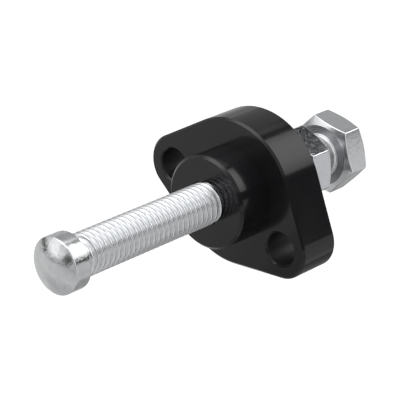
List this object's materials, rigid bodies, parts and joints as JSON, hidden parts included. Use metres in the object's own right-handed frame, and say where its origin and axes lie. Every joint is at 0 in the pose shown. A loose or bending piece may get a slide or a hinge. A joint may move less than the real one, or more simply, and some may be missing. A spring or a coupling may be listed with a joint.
{
  "type": "manual cam chain tensioner",
  "caption": "Flanged black body with a long threaded adjuster through it, a domed swivel foot in front, and a lock nut and hexagon head behind.",
  "frame": {"origin": "on the adjuster bolt's axis, in the flange's mounting face, where the spigot starts", "axes": "+X along the bolt's axis from the foot to the hexagon head, out of the engine; +Z towards the wide side of the flange, away from the line of the two mounting holes; +Y along the line of the holes"},
  "size_m": [0.0786, 0.0396, 0.0286],
  "materials": {
    "black_anodised_aluminium": "machined, bright black anodised",
    "satin_zinc_thread": "rolled thread, satin zinc plate",
    "satin_zinc_foot": "turned, satin zinc plate",
    "bright_zinc_nut": "bright zinc plate"
  },
  "bodies": {
    "housing": {"tensioner_body": "black_anodised_aluminium"},
    "foot": {"foot_cap": "satin_zinc_foot"},
    "bolt": {"adjuster_bolt": "satin_zinc_thread"},
    "nut": {"lock_nut": "bright_zinc_nut"}
  },
  "joints": [
    {"name": "adjuster_travel", "type": "slide", "parent": "housing", "child": "foot", "axis": [1, 0, 0], "range_m": [-0.004, 0.034]},
    {"name": "screw_turn", "type": "hinge", "parent": "foot", "child": "bolt", "pos_m": [0, 0, 0], "axis": [1, 0, 0], "range_deg": [-1152.5, 9792.5]},
    {"name": "nut_run", "type": "slide", "parent": "housing", "child": "nut", "axis": [1, 0, 0], "range_m": [-0.00645, 0]}
  ],
  "couplings": [
    {"joint": "screw_turn", "follows": "adjuster_travel", "rad_per_m": 5026.5}
  ]
}
